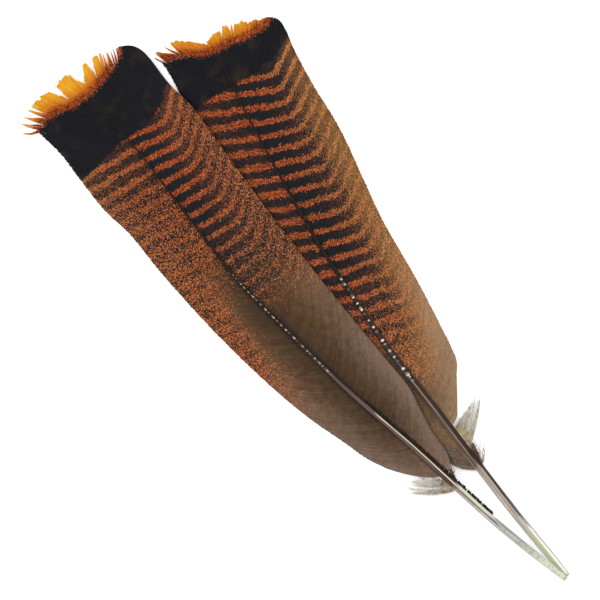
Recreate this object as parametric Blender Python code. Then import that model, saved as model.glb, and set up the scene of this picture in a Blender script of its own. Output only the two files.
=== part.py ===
"""A pair of uncut tail feathers laid in a narrow V, quill ends together, the front one over the back one.

Each feather is modelled in its own flat frame, in millimetres: u runs sideways (right is +), v runs along
the feather from the quill's open end to the tip, and z is height above the surface the pair lies on.
An empty per feather then turns that frame into place, so the front feather can be lifted by its empty.
"""

import math
from dataclasses import dataclass

import bmesh
import bpy
import numpy as np

MM = 0.001

# What both feathers share, in mm
V_HALF_ANGLE = 5.97  # degrees that each feather turns away from the line between them
GAP = 0.3  # clearance between pieces that touch on the real feather
CALAMUS_WALL = 0.45
CORTEX_WALL = 0.3
VANE_THICKNESS = 0.45
BARB_BOW = 0.10  # how far a barb sags towards the quill at its middle, as a share of its length
ATTACH = 0.35  # height at which a vane leaves the shaft, as a share of the shaft's half height
CAMBER = 1.7  # power of the vane's fall from shaft to edge: higher keeps it flatter near the shaft
PITH_END_WIDTH = 0.25  # half width at which the pith core runs out
MEMBRANE_CAPS = 7
SPLIT_GAP = 0.45  # shaft length between the last barb of one web and the first of the next

BACK_DEPTH = 2.2  # half height of the back quill
REST_FLAT = 0.93  # its underside is flattened at this share of the half height, and rests on z = 0
BACK_RISE = BACK_DEPTH * REST_FLAT

SHAFT_SIDES = 16
SHAFT_RING_STEP = 12.0
WEB_ROWS, WEB_COLUMNS = 12, 6
TUFT_ROWS = 6
OUTLINE_POINTS = 600
SMOOTH_ANGLE = math.radians(50)


@dataclass
class Feather:
    """All lists hold control points, ordered from the quill end to the tip."""

    name: str
    base: tuple  # (x, y) of the quill end before the pair is centred
    turn: float  # degrees about Z
    umbilicus: float  # v where the hollow calamus ends and the pith-filled rachis begins
    flat: float  # share of the shaft's half height at which its underside is flattened, 1 for none
    shaft_line: list  # (v, u)
    shaft_height: list  # (v, z of the shaft's centre)
    shaft_width: list  # (v, half width)
    shaft_depth: list  # (v, half height)
    edges: dict  # side: (u, v, v of the root of the barb that ends there)
    edge_heights: dict  # side: (v, z)
    tufts: dict  # side: like edges, for the down at the vane's base
    splits: list  # shaft positions where the vanes part into webs
    colours: dict


FRONT = Feather(
    name="front",
    base=(16.9, -183.9),
    turn=V_HALF_ANGLE,
    umbilicus=68,
    flat=1,
    shaft_line=[(0, -0.5), (48, -5.8), (96, -8.3), (144, -11.8), (204, -12.6), (249, -8.1), (296, -2.6), (326, -1)],
    shaft_height=[(0, 6.6), (60, 6.3), (120, 6.2), (210, 6.3), (280, 5.2), (326, 3.8)],
    shaft_width=[(0, 1.35), (20, 1.8), (68, 1.9), (96, 1.7), (144, 1.3), (192, 0.95), (240, 0.65), (326, 0.3)],
    shaft_depth=[(0, 1.5), (20, 1.85), (68, 1.9), (120, 1.7), (200, 1.2), (270, 0.7), (326, 0.3)],
    edges={
        "left": [
            (-24.5, 98, 77.5), (-28, 108, 88), (-30.2, 120, 100), (-34.6, 144, 119),
            (-37, 172, 145), (-37.6, 204, 175), (-36.1, 240, 209), (-33.8, 264, 234), (-34.4, 282, 251),
            (-32, 303, 270), (-30.5, 316, 280), (-30.9, 332, 289), (-31.5, 339.5, 295), (-24, 342, 301),
            (-12, 340.5, 312), (-1.4, 340, 325.5),
        ],
        "right": [
            (-0.6, 79.3, 76.3), (1.4, 84.5, 78.2), (3.4, 96, 83), (6.8, 107.5, 90.5), (10.4, 119.5, 100),
            (12, 138, 116), (14, 160, 134), (17.1, 192, 162), (21.6, 228, 193), (26.9, 264, 227),
            (30.2, 287, 250), (30.2, 303, 265.5), (32, 318, 279.5), (31.7, 325, 285), (28.8, 329.8, 292),
            (22.5, 333.6, 300), (11, 337.5, 311), (-0.6, 339.5, 325.5),
        ],
    },
    edge_heights={"left": [(60, 2.2), (110, 0.7), (300, 0.7), (342, 1.6)],
                  "right": [(60, 6.1), (90, 5.1), (280, 5.1), (325, 2.4), (342, 2.4)]},
    tufts={"left": [(-25, 81.5, 69.8), (-26.5, 85, 72.3), (-22.5, 88, 75.8)],
           "right": [(-4.2, 71.8, 71), (-2.6, 75.6, 73), (-1.2, 78.4, 75)]},
    splits=[121, 190, 262],
    colours={"shaft": (0.36, 0.31, 0.26), "tip": (0.03, 0.03, 0.04)},
)

BACK = Feather(
    name="back",
    base=(19.6, -183.6),
    turn=-V_HALF_ANGLE,
    umbilicus=66,
    flat=REST_FLAT,
    shaft_line=[(0, -1.9), (48, -7.5), (96, -11.4), (144, -15.6), (192, -16.6), (240, -14.4), (283, -10.8), (303, -8.5)],
    shaft_height=[(0, BACK_RISE), (66, BACK_RISE), (110, 2.7), (200, 4.0), (270, 3.2), (303, 1.9)],
    shaft_width=[(0, 1.7), (15, 2.1), (66, 2.15), (96, 1.9), (144, 1.45), (192, 1.0), (240, 0.65), (303, 0.3)],
    shaft_depth=[(0, BACK_DEPTH), (66, BACK_DEPTH), (110, 1.9), (180, 1.3), (250, 0.7), (303, 0.3)],
    edges={
        "left": [
            (-28, 102, 78), (-31.2, 119, 94), (-34, 140, 119), (-36, 170, 148), (-36, 200, 178),
            (-35.5, 230, 208), (-35, 260, 238), (-34.6, 285, 261), (-33.2, 303, 276), (-33.2, 312, 282),
            (-34.3, 318, 286), (-26, 318.5, 291), (-18, 315.5, 296), (-8.9, 312.3, 302.6),
        ],
        "right": [
            (-4.2, 94.4, 91), (0.8, 102.5, 94), (5.3, 110, 97.8), (9.7, 118, 103), (12, 138, 113), (14, 162, 132),
            (15.4, 192, 159), (18.6, 216, 180), (21.7, 240, 203), (22.2, 264, 228), (23.5, 283, 248),
            (25.4, 295, 262), (24, 301.5, 270), (15, 306, 279), (6, 309.5, 288), (-8.1, 312, 302.6),
        ],
    },
    edge_heights={"left": [(60, 1.2), (100, 0.6), (290, 0.6), (320, 1)],
                  "right": [(60, 1.8), (110, 0.6), (290, 0.6), (320, 1)]},
    tufts={"left": [(-19.5, 74.2, 66.7), (-24.5, 85.5, 70.8), (-27, 97, 76.3)],
           "right": [(-4.5, 67.5, 66.7), (-0.5, 75, 71), (5, 84, 75.5), (10.4, 94.5, 80), (6.5, 98, 85.5),
                     (-0.5, 98, 89.3)]},
    splits=[122, 186, 246],
    colours={"shaft": (0.50, 0.45, 0.36), "tip": (0.03, 0.03, 0.04)},
)

# Colours shared by both feathers, from the vane's base web to the one below the tip
WEB_COLOURS = [(0.16, 0.11, 0.08), (0.20, 0.09, 0.05), (0.27, 0.08, 0.03)]
DOWN_COLOUR = (0.55, 0.50, 0.42)
HORN_COLOUR = (0.72, 0.68, 0.56)
PITH_COLOUR = (0.85, 0.80, 0.70)
MEMBRANE_COLOUR = (0.80, 0.74, 0.62)


def cubic(x, xs, ys, slopes):
    """Values at x of the piecewise cubic through the points (xs, ys) with these slopes."""
    x = np.clip(np.asarray(x, float), xs[0], xs[-1])
    i = np.clip(np.searchsorted(xs, x) - 1, 0, len(xs) - 2)
    step = xs[i + 1] - xs[i]
    t = (x - xs[i]) / step
    if ys.ndim > 1:
        t, step = t[..., None], step[..., None]
    rise = t * t * (3 - 2 * t)
    bend = t * (1 - t) * step * ((1 - t) * slopes[i] - t * slopes[i + 1])
    return (1 - rise) * ys[i] + rise * ys[i + 1] + bend


def along(points, v):
    """A quantity listed as (v, value), at v, on a curve that never overshoots the listed values."""
    xs, ys = np.array(points, float).T
    slope = np.diff(ys) / np.diff(xs)
    before, after = np.append(slope[0], slope), np.append(slope, slope[-1])
    slopes = np.zeros(len(xs))
    np.divide(2 * before * after, before + after, out=slopes, where=before * after > 0)
    return cubic(v, xs, ys, slopes)


def outline(points, count):
    """This many points along the rounded curve through the listed ones."""
    ys = np.array(points, float)
    xs = np.arange(len(ys))
    return cubic(np.linspace(0, xs[-1], count), xs, ys, np.gradient(ys, axis=0))


def shaft_ring(feather, v, width, depth, sides=SHAFT_SIDES):
    """The shaft's section at v: points round an oval of these half sizes."""
    slope = (along(feather.shaft_line, v + 1) - along(feather.shaft_line, v - 1)) / 2
    across = np.array([1, -slope]) / math.hypot(1, slope)
    angles = (np.arange(sides) + 0.5) * 2 * math.pi / sides
    sideways, up = width * np.cos(angles), np.maximum(depth * np.sin(angles), -depth * feather.flat)
    centre = float(along(feather.shaft_line, v))
    return np.column_stack([
        centre + sideways * across[0], v + sideways * across[1], along(feather.shaft_height, v) + up])


def shaft_rings(feather, first, last, inset):
    """Sections from first to last, drawn in from the shaft's surface by inset."""
    count = max(2, round((last - first) / SHAFT_RING_STEP) + 1)
    return [
        shaft_ring(feather, v, along(feather.shaft_width, v) - inset, along(feather.shaft_depth, v) - inset)
        for v in np.linspace(first, last, count)
    ]


def loft(rings, ring_closed=False):
    """(vertices, faces) of the skin over the rings. Its ends are capped, or joined if ring_closed."""
    count, sides = len(rings), len(rings[0])
    faces = []
    for i in range(count if ring_closed else count - 1):
        a, b = i * sides, (i + 1) % count * sides
        faces += [(a + j, a + (j + 1) % sides, b + (j + 1) % sides, b + j) for j in range(sides)]
    if not ring_closed:
        faces += [tuple(range(sides)), tuple(range((count - 1) * sides, count * sides))]
    return np.concatenate(rings), faces


def web_surface(feather, side, edge, start, end, rows, columns):
    """The middle surface of a web: rows of points along its barbs, from the shaft to the edge."""
    sign = -1 if side == "left" else 1
    dense = outline(edge, OUTLINE_POINTS)
    travel = np.append(0, np.cumsum(np.linalg.norm(np.diff(dense, axis=0), axis=1)))
    first, last = np.interp([start, end], dense[:, 2], travel)
    tips = np.column_stack([np.interp(np.linspace(first, last, rows), travel, dense[:, k]) for k in range(3)])
    grid = np.empty((rows, columns, 3))
    for row, (u, v, root) in zip(grid, tips):
        root_u = along(feather.shaft_line, root) + sign * (along(feather.shaft_width, root) + GAP)
        root_z = along(feather.shaft_height, root) + ATTACH * along(feather.shaft_depth, root)
        edge_z = along(feather.edge_heights[side], v)
        t = np.linspace(0, 1, columns)
        sag = BARB_BOW * math.hypot(u - root_u, v - root) * 4 * t * (1 - t)
        row[:, 0] = root_u + (u - root_u) * t
        row[:, 1] = root + (v - root) * t - sag
        row[:, 2] = root_z + (edge_z - root_z) * t**CAMBER
    return grid


def web_solid(grid, thickness=VANE_THICKNESS):
    """(vertices, faces) of the closed sheet that thickens the grid up and down."""
    rows, columns = grid.shape[:2]
    half = np.array([0, 0, thickness / 2])
    points = np.concatenate([(grid + half).reshape(-1, 3), (grid - half).reshape(-1, 3)])
    index = np.arange(rows * columns).reshape(rows, columns)
    below = rows * columns
    quads = [
        (index[i, j], index[i + 1, j], index[i + 1, j + 1], index[i, j + 1])
        for i in range(rows - 1) for j in range(columns - 1)
    ]
    rim = np.concatenate([index[0, :-1], index[:-1, -1], index[-1, :0:-1], index[:0:-1, 0]])
    faces = quads + [tuple(below + k for k in quad) for quad in quads]
    faces += [(a, b, b + below, a + below) for a, b in zip(rim, np.roll(rim, -1))]
    return points, faces


def principled(name, colour, roughness):
    material = bpy.data.materials.new(name)
    material.use_nodes = True
    shader = material.node_tree.nodes["Principled BSDF"]
    shader.inputs["Base Color"].default_value = (*colour, 1)
    shader.inputs["Roughness"].default_value = roughness
    return material


def add_piece(feather, part, skin, parent, colour, roughness=0.6):
    """One named solid of the feather, shaded smooth except over its sharp rims."""
    name = f"{feather.name}_{part}"
    points, faces = skin
    shape = bmesh.new()
    corners = [shape.verts.new(point * MM) for point in points]
    for face in faces:
        shape.faces.new([corners[k] for k in face])
    bmesh.ops.recalc_face_normals(shape, faces=shape.faces)
    mesh = bpy.data.meshes.new(name)
    shape.to_mesh(mesh)
    shape.free()
    mesh.shade_smooth()
    mesh.set_sharp_from_angle(angle=SMOOTH_ANGLE)
    mesh.materials.append(principled(name, colour, roughness))
    piece = bpy.data.objects.new(name, mesh)
    bpy.context.collection.objects.link(piece)
    piece.parent = parent
    return piece


def add_calamus(feather, parent):
    """The bare hollow quill, open at its end and at the umbilicus, with the dried pulp caps inside it."""
    outer = shaft_rings(feather, 0, feather.umbilicus, 0)
    bore = shaft_rings(feather, 0, feather.umbilicus, CALAMUS_WALL)
    add_piece(feather, "calamus", loft(outer + bore[::-1], ring_closed=True), parent, HORN_COLOUR, 0.3)

    start, end = 6.0, feather.umbilicus - 2
    rings = []
    for k, v in enumerate(np.linspace(start, end, 2 * MEMBRANE_CAPS + 1)):
        free = CALAMUS_WALL + GAP
        size = along(feather.shaft_width, v) - free if k % 2 else 0.3
        rings.append(shaft_ring(feather, v, size, size, sides=10))
    add_piece(feather, "calamus_membrane", loft(rings), parent, MEMBRANE_COLOUR)


def add_rachis(feather, parent):
    """The tapering shaft inside the vanes: a cortex shell, open at the umbilicus, over a foam pith core."""
    start, end = feather.umbilicus + GAP, feather.shaft_line[-1][0]
    samples = np.linspace(start, end, 200)
    core_end = samples[along(feather.shaft_width, samples) > CORTEX_WALL + GAP + PITH_END_WIDTH][-1]
    outer = shaft_rings(feather, start, end, 0)
    inner = shaft_rings(feather, start, core_end + GAP, CORTEX_WALL)
    add_piece(feather, "rachis_cortex", loft(inner[::-1] + outer), parent, feather.colours["shaft"], 0.4)
    core = shaft_rings(feather, start, core_end, CORTEX_WALL + GAP)
    add_piece(feather, "rachis_pith", loft(core), parent, PITH_COLOUR, 0.9)


def add_vanes(feather, parent):
    """On each side a down tuft and the vane, whose webs part along the lines of the barbs."""
    for side, edge in feather.edges.items():
        tuft = feather.tufts[side]
        grid = web_surface(feather, side, tuft, tuft[0][2], tuft[-1][2], TUFT_ROWS, WEB_COLUMNS)
        add_piece(feather, f"down_{side}", web_solid(grid), parent, DOWN_COLOUR, 0.9)
        bounds = [edge[0][2], *feather.splits, edge[-1][2]]
        colours = [*WEB_COLOURS, feather.colours["tip"]]
        for k, (start, end, colour) in enumerate(zip(bounds, bounds[1:], colours), start=1):
            first, last = start + SPLIT_GAP / 2, end - SPLIT_GAP / 2
            grid = web_surface(feather, side, edge, first, last, WEB_ROWS, WEB_COLUMNS)
            add_piece(feather, f"vane_{side}_{k}", web_solid(grid), parent, colour)


def build_feather(feather):
    parent = bpy.data.objects.new(f"{feather.name}_feather", None)
    bpy.context.collection.objects.link(parent)
    parent.location = (feather.base[0] * MM, feather.base[1] * MM, 0)
    parent.rotation_euler.z = math.radians(feather.turn)
    add_calamus(feather, parent)
    add_rachis(feather, parent)
    add_vanes(feather, parent)
    return parent


def centre_pair(parents):
    """Moves the two feathers so that the origin is under the middle of their bounding box."""
    bpy.context.view_layer.update()
    points = np.array([
        piece.matrix_world @ vertex.co
        for piece in bpy.data.objects if piece.type == "MESH" for vertex in piece.data.vertices
    ])
    middle = (points.min(axis=0) + points.max(axis=0)) / 2
    for parent in parents:
        parent.location.x -= middle[0]
        parent.location.y -= middle[1]
    bpy.context.view_layer.update()


def main():
    for thing in list(bpy.data.objects):
        bpy.data.objects.remove(thing, do_unlink=True)
    centre_pair([build_feather(FRONT), build_feather(BACK)])


main()
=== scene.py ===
"""The looks of a pair of large barred tail feathers that lie in a narrow V, quill ends together.

Every vane is made of its single barbs and every down tuft of its single plumes. Each feather is drawn in its
own flat frame, in millimetres: u runs sideways, v runs from the quill's open end to the tip, and z is height.
placement() turns that frame into the row's, from where the feather's CAD quill lies. Outlines and shaft sizes
repeat the CAD's, so that the barbs lie where the CAD webs are.
"""

import math
from dataclasses import dataclass
from typing import NamedTuple

import bpy
import numpy as np
from mathutils import Matrix, Vector


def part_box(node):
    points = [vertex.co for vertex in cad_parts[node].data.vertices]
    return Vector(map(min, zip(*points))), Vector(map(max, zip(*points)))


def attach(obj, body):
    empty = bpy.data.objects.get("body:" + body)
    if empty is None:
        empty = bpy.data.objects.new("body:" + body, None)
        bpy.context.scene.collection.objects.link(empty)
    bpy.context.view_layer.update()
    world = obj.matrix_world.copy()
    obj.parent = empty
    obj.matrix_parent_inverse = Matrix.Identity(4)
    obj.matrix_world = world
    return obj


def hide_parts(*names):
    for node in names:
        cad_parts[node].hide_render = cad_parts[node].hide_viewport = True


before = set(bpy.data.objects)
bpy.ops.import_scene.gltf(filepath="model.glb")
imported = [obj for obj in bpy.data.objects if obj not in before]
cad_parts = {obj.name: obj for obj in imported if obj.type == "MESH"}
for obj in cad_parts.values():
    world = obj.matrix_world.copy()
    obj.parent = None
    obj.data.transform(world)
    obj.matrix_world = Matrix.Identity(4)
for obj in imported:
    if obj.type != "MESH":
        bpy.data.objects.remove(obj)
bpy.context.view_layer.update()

MM = 0.001

# Shared with the CAD, in mm
V_HALF_ANGLE = 5.97
GAP = 0.3
CALAMUS_WALL = 0.45
CORTEX_WALL = 0.3
BARB_BOW = 0.10
ATTACH = 0.35
CAMBER = 1.7
PITH_END_WIDTH = 0.25
BACK_DEPTH = 2.2
REST_FLAT = 0.93
BACK_RISE = BACK_DEPTH * REST_FLAT
CAD_SIDES = 16
CAD_STEP = 12

# Detail of the looks, in mm unless said otherwise
BARB_SPACING = 0.5
BARB_OVERLAP = 1.18  # each barb's width as a share of its distance to the next
BARB_STEPS = 18
THINNEST_BARB = 0.22
LOCK_BARBS = 15  # mean number of barbs that hang together in the fringe
SPIKE_BARBS = 3.8  # the same where it is spiky
WHOLE_CORNER = (24, 28)  # u where the fringe ends and the vane's right corner is whole
TIP_OVERLAP = 0.45  # how far the last barbs of each side lean over the end of the shaft
SHAFT_SIDES = 32
SHAFT_STEP = 2.0
CAPS = 9
OUTLINE_POINTS = 800
# A barb's section: (share of its half width, height)
BARB_SECTION = ((-1.0, -0.11), (-0.3, 0.13), (1.0, 0.06), (-0.2, -0.15))

# The camera looks straight down, and this direction of the row points up in its picture
VIEW_TURN = -38.5
VIEW_WIDTH = 288 * MM
CAMERA_HEIGHT = 3.0
SENSOR = 36.0
CLEARANCE = 0.05 * MM  # keeps the floor's face off the flat undersides
FLOOR_HALF = 3.0  # metres
QUILL_TO_CENTRE = (-16.4, 184.0)  # mm from the front quill's end to the middle of the view


class Lobe(NamedTuple):
    """A lobe of down."""

    edge: list  # like a vane's edge
    spacing: float
    curl: float  # how far the plumes wander
    barbule: float  # length of the hairs
    brown: float  # share of brown in the colour


class Glints(NamedTuple):
    """The row of pale spots along the top of the shaft: painted glints."""

    start: float
    end: float
    spacing: float
    cut: float  # how much of the spacing is bare, from -1 (none) to 1
    narrow: float  # how fast a bead ends sideways
    colour: tuple  # sRGB


@dataclass
class Feather:
    """The lists up to splits repeat the CAD's control points. The rest is plumage."""

    name: str
    turn: float
    umbilicus: float
    flat: float
    shaft_line: list  # (v, u)
    shaft_height: list  # (v, z)
    shaft_width: list  # (v, half width)
    shaft_depth: list  # (v, half height)
    edges: dict  # side: (u, v, v of the root of the barb that ends there)
    edge_heights: dict  # side: (v, z)
    splits: list
    band_low: list  # (u, v) of the black band's lower edge
    band_high: list  # (u, v) of its upper edge, where the fringe begins
    notches: list  # (u, half width, depth) of the gaps in the fringe
    bar_period: float
    bar_lines: dict  # side: (fall near the shaft as (v, fall), distance of the bend from it, rise beyond)
    # Each of these four is side: a list of (v, share) near the shaft, and one at the edge
    clarity: dict  # how crisp the bars are
    rufous: dict  # how strong the pattern is
    pale: dict  # how pale the plain brown is
    tan: dict  # how far the bars turn from rust to tan
    shaft_tones: list  # (v, share of the pale horn in the shaft's colour)
    black_share: dict  # side: how much wider the black gaps are than the bars, as (v, share)
    pale_brown: tuple  # sRGB of the palest plain brown
    spiky: dict  # side: (u from, u to, lean outwards) of the spikes that the fringe ends in there
    glints: Glints
    strips: list  # ((side from, to), (v from, to), sRGB colour) of the lines along the shaft, some of which are painted light and painted shade; side is -1 to 1
    shadow_spurs: tuple  # first and last v of the row of dark spurs on the right flank, put there as painted shadow
    plumes: dict  # side: lobes of down
    seed: int


FRONT = Feather(
    name="front",
    turn=V_HALF_ANGLE,
    umbilicus=68,
    flat=1,
    shaft_line=[(0, -0.5), (48, -5.8), (96, -8.3), (144, -11.8), (204, -12.6), (249, -8.1), (296, -2.6),
                (326, -1)],
    shaft_height=[(0, 6.6), (60, 6.3), (120, 6.2), (210, 6.3), (280, 5.2), (326, 3.8)],
    shaft_width=[(0, 1.35), (20, 1.8), (68, 1.9), (96, 1.7), (144, 1.3), (192, 0.95), (240, 0.65),
                 (326, 0.3)],
    shaft_depth=[(0, 1.5), (20, 1.85), (68, 1.9), (120, 1.7), (200, 1.2), (270, 0.7), (326, 0.3)],
    edges={
        "left": [
            (-24.5, 98, 77.5), (-28, 108, 88), (-30.2, 120, 100), (-34.6, 144, 119),
            (-37, 172, 145), (-37.6, 204, 175), (-36.1, 240, 209), (-33.8, 264, 234), (-34.4, 282, 251),
            (-32, 303, 270), (-30.5, 316, 280), (-30.9, 332, 289), (-31.5, 339.5, 295), (-24, 342, 301),
            (-12, 340.5, 312), (-1.4, 340, 325.5),
        ],
        "right": [
            (-0.6, 79.3, 76.3), (1.4, 84.5, 78.2), (3.4, 96, 83), (6.8, 107.5, 90.5), (10.4, 119.5, 100),
            (12, 138, 116), (14, 160, 134), (17.1, 192, 162), (21.6, 228, 193), (26.9, 264, 227),
            (30.2, 287, 250), (30.2, 303, 265.5), (32, 318, 279.5), (31.7, 325, 285), (28.8, 329.8, 292),
            (22.5, 333.6, 300), (11, 337.5, 311), (-0.6, 339.5, 325.5),
        ],
    },
    edge_heights={"left": [(60, 2.2), (110, 0.7), (300, 0.7), (342, 1.6)],
                  "right": [(60, 6.1), (90, 5.1), (280, 5.1), (325, 2.4), (342, 2.4)]},
    splits=[121, 190, 262],
    band_low=[(-35, 299), (-10, 298.5), (10, 296.5), (20, 298), (28, 303), (34, 306)],
    band_high=[(-33, 328), (-28, 330.5), (-19, 329.5), (-9, 325.5), (0, 324.5), (14, 325.5), (20, 327),
               (24.5, 328.5), (27, 331.5), (33, 332)],
    notches=[(-11.6, 1.5, 5.5), (2.6, 4, 7.5), (10.4, 1, 5)],
    bar_period=6.9,
    bar_lines={"left": ([(200, -0.25), (300, -0.25)], 40, -0.25),
               "right": ([(215, 0.2), (255, 0.25), (300, 0.46)], 19.5, 0.8)},
    clarity={"left": ([(255, 0.05), (288, 0.8)], [(262, 0), (294, 0.55)]),
             "right": ([(200, 0.25), (225, 0.7), (245, 1)], [(250, 0), (285, 0.15), (302, 0.7)])},
    rufous={"left": ([(195, 0), (228, 0.55), (252, 1)], [(115, 0), (160, 0.5), (185, 0.85), (215, 1)]),
            "right": ([(180, 0), (208, 0.7), (240, 1)], [(172, 0), (198, 0.6), (218, 1)])},
    pale={"left": ([(76, 0.8), (115, 0.15), (230, 0)], [(76, 1.1), (140, 0.7), (180, 0.3)]),
          "right": ([(76, 0.9), (105, 0.35), (130, 0), (230, 0)],
                    [(76, 1.1), (130, 1), (165, 0.5), (200, 0.25)])},
    pale_brown=(142, 118, 102),
    tan={"left": ([(150, 0.4), (280, 0.25)], [(150, 0.4), (280, 0.55)]),
         "right": ([(215, 0.45), (260, 0)], [(215, 0.5), (290, 0.4)])},
    shaft_tones=[(40, 1), (66, 0.85), (80, 0.5), (125, 0.35), (160, 0.12), (210, 0)],
    black_share={"left": [(200, 0.3), (260, 0.4), (300, 0.35)],
                 "right": [(180, 1.1), (230, 0.65), (260, 0.4), (300, 0.25)]},
    spiky={"left": (-33, -26, 2.6), "right": (17, 24, 0.3)},
    glints=Glints(150, 214, 2.8, cut=-0.3, narrow=9, colour=(184, 168, 152)),
    strips=[
        ((-1.1, -0.75), (76, 140), (58, 44, 42)), ((-0.5, 0.0), (84, 150), (98, 80, 76)),
        # The cream line along the top from v 50 to 118 is a painted highlight.
        ((0.14, 0.34), (50, 118), (228, 212, 172)), ((-0.15, 0.05), (44, 74), (74, 60, 46)),
        # The dark line on the right flank from v 76 to 200 is painted shade.
        ((0.6, 1.1), (47, 66), (250, 249, 244)), ((0.6, 1.1), (76, 200), (44, 34, 30)),
    ],
    # The row of dark spurs on the right flank is painted shadow of the shaft.
    shadow_spurs=(47, 128),
    plumes={
        "left": [
            Lobe([(-16.7, 75.8, 67.8), (-24.7, 81.3, 69), (-24.6, 84.5, 70.5), (-21, 85.1, 72),
                  (-14, 85.2, 74.5)], spacing=0.5, curl=0.5, barbule=1.1, brown=0.1),
            Lobe([(-22.5, 84.2, 72.6), (-21.5, 85, 73.2)], spacing=0.4, curl=0.3, barbule=0.4, brown=1),
        ],
        "right": [
            Lobe([(-5.4, 71.6, 69.2), (-3, 75.6, 71), (-1.4, 78.6, 75)],
                 spacing=0.3, curl=0.4, barbule=0.6, brown=0.9),
        ],
    },
    seed=11,
)

BACK = Feather(
    name="back",
    turn=-V_HALF_ANGLE,
    umbilicus=66,
    flat=REST_FLAT,
    shaft_line=[(0, -1.9), (48, -7.5), (96, -11.4), (144, -15.6), (192, -16.6), (240, -14.4), (283, -10.8),
                (303, -8.5)],
    shaft_height=[(0, BACK_RISE), (66, BACK_RISE), (110, 2.7), (200, 4.0), (270, 3.2), (303, 1.9)],
    shaft_width=[(0, 1.7), (15, 2.1), (66, 2.15), (96, 1.9), (144, 1.45), (192, 1.0), (240, 0.65),
                 (303, 0.3)],
    shaft_depth=[(0, BACK_DEPTH), (66, BACK_DEPTH), (110, 1.9), (180, 1.3), (250, 0.7), (303, 0.3)],
    edges={
        "left": [
            (-28, 102, 78), (-31.2, 119, 94), (-34, 140, 119), (-36, 170, 148), (-36, 200, 178),
            (-35.5, 230, 208), (-35, 260, 238), (-34.6, 285, 261), (-33.2, 303, 276), (-33.2, 312, 282),
            (-34.3, 318, 286), (-26, 318.5, 291), (-18, 315.5, 296), (-8.9, 312.3, 302.6),
        ],
        "right": [
            (-4.2, 94.4, 91), (0.8, 102.5, 94), (5.3, 110, 97.8), (9.7, 118, 103), (12, 138, 113),
            (14, 162, 132), (15.4, 192, 159), (18.6, 216, 180), (21.7, 240, 203), (22.2, 264, 228),
            (23.5, 283, 248), (25.4, 295, 262), (24, 301.5, 270), (15, 306, 279), (6, 309.5, 288),
            (-8.1, 312, 302.6),
        ],
    },
    edge_heights={"left": [(60, 1.2), (100, 0.6), (290, 0.6), (320, 1)],
                  "right": [(60, 1.8), (110, 0.6), (290, 0.6), (320, 1)]},
    splits=[122, 186, 246],
    band_low=[(-36, 284), (-20, 285), (0, 284), (10, 284.5), (20, 288), (27, 291)],
    band_high=[(-34, 312), (-24, 309), (-12, 302.5), (0, 301), (10, 299), (18, 299), (22, 301), (27, 302)],
    notches=[(-11.5, 6.5, 4.5), (-26.5, 1, 3)],
    bar_period=7.5,
    bar_lines={"left": ([(150, -0.4), (300, -0.45)], 40, -0.45),
               "right": ([(120, 0.25), (208, 0.31), (283, 0.456)], 20.5, 0.75)},
    clarity={"left": ([(140, 0.2), (170, 0.9)], [(150, 0.2), (190, 0.8)]),
             "right": ([(132, 0), (158, 0.6), (185, 1)], [(200, 0), (240, 0.3), (285, 0.9)])},
    rufous={"left": ([(128, 0), (152, 0.7), (175, 1)], [(128, 0), (152, 0.7), (175, 1)]),
            "right": ([(100, 0.1), (125, 0.6), (150, 0.9), (168, 1)],
                      [(95, 0), (150, 0.45), (190, 0.8), (230, 1)])},
    pale={"left": ([(76, 0.5), (150, 0.2)], [(76, 1), (150, 0.9), (200, 0.6)]),
          "right": ([(76, 1), (120, 0.7), (150, 0.2)], [(76, 1.2), (150, 1.1), (220, 0.9), (260, 0)])},
    pale_brown=(174, 142, 110),
    tan={"left": ([(150, 0.2), (290, 0)], [(150, 0.4), (290, 0.2)]),
         "right": ([(120, 0.8), (190, 0.15), (290, 0)], [(120, 1), (220, 1), (285, 0.75)])},
    shaft_tones=[(40, 1), (60, 0.95), (70, 0.6), (80, 0.3), (125, 0.2), (160, 0.06), (190, 0)],
    black_share={"left": [(150, 0.3), (220, 0.35), (290, 0.3)],
                 "right": [(130, 0.2), (170, 0.45), (220, 0.5), (290, 0.4)]},
    spiky={"left": (-36, -28, 1.0), "right": (2, 4, 0)},
    glints=Glints(121, 177, 3.5, cut=0.15, narrow=2.6, colour=(228, 220, 208)),
    strips=[
        ((-1.1, -0.8), (30, 72), (150, 142, 136)), ((-0.34, -0.16), (60, 118), (150, 126, 108)),
        ((-0.3, 0.15), (40, 66), (172, 148, 130)), ((0.05, 1.1), (74, 172), (52, 40, 33)),
        # On the quill, the white line from v 4 to 28 is painted light in the clear middle of the tube.
        ((-0.6, 0.1), (5, 28), (192, 190, 148)), ((0.28, 0.68), (4, 28), (252, 252, 250)),
        # The grey-olive line at the quill's right edge from v 1 to 38 is painted shade.
        ((0.4, 1.3), (38, 74), (46, 24, 12)), ((0.84, 1.1), (1, 38), (148, 146, 112)),
    ],
    shadow_spurs=(),
    plumes={
        "left": [
            Lobe([(-19.5, 74.8, 66.7), (-24.5, 85.5, 70.8), (-28, 101.5, 79.5)],
                 spacing=0.24, curl=0.3, barbule=0.7, brown=0.7),
            Lobe([(-18.5, 74.4, 66.9), (-21.5, 78.5, 68.5)], spacing=0.5, curl=0.5, barbule=1.2, brown=0.2),
        ],
        "right": [
            Lobe([(-3.5, 83.3, 76.5), (2.2, 87.7, 78.5), (8.2, 93.2, 80), (10.4, 95.7, 81), (7.1, 96.1, 83),
                  (-0.4, 92.9, 87), (-5, 91, 89)], spacing=0.2, curl=0.2, barbule=0.45, brown=0.15),
            Lobe([(-5.4, 70.8, 67), (2.4, 79, 67.6), (-0.4, 82, 68.4), (-4.8, 77, 69.4)],
                 spacing=2.2, curl=0.9, barbule=0.45, brown=0.6),
            Lobe([(-6.6, 72, 66.8), (-5.6, 77, 71), (-5.8, 82.5, 76.5)],
                 spacing=0.35, curl=0.4, barbule=0.6, brown=0.8),
        ],
    },
    seed=23,
)


# ---- Curves ----------------------------------------------------------


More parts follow.
